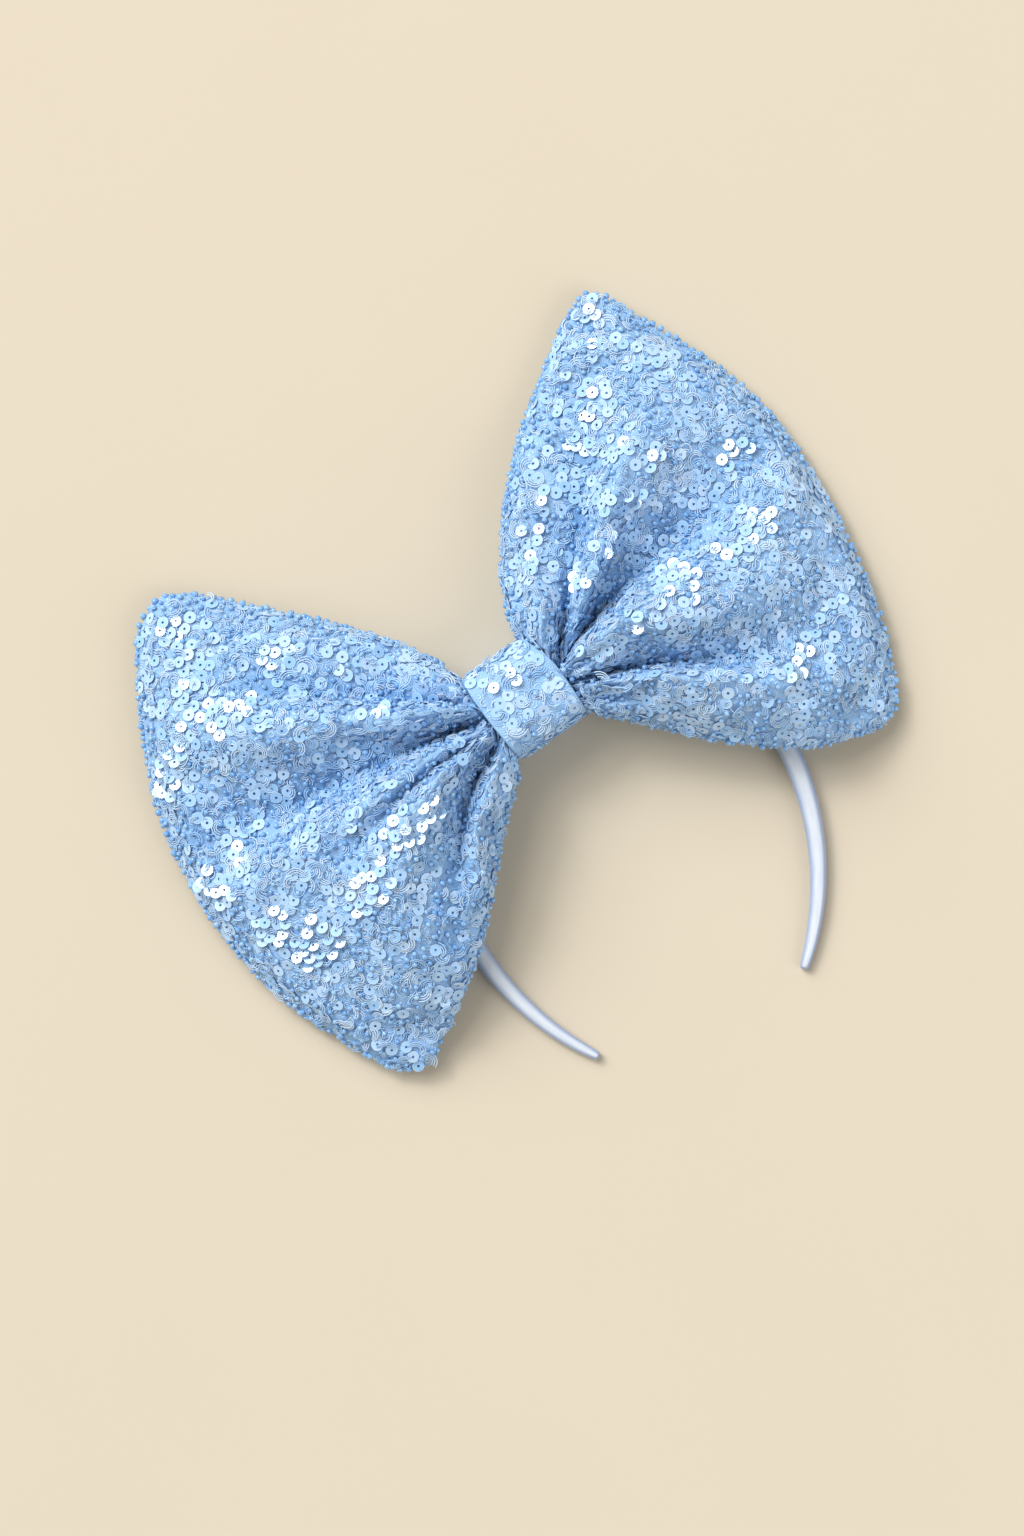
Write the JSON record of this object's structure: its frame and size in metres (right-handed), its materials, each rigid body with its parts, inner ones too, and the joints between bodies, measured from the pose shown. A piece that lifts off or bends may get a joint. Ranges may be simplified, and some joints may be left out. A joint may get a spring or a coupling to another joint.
{
  "type": "bow headband",
  "caption": "Slim C-shaped satin headband with a very large padded bow, gathered into a wide knot and covered with sequins and beads, lying on its back.",
  "frame": {"origin": "centre of the knot wrap's flat back, on the surface that the headband lies on", "axes": "+X along the bow's long axis to its right loop, +Y to the bow's upper edges, +Z out of its face"},
  "size_m": [0.295, 0.27, 0.0513],
  "materials": {
    "sequin_cloth": "sky-blue cloth covered with glossy sequins and seed beads",
    "satin": "pale blue satin, soft sheen"
  },
  "bodies": {
    "root": {"band": "satin", "left_loop": "sequin_cloth", "right_loop": "sequin_cloth", "knot_wrap": "sequin_cloth"}
  },
  "joints": []
}
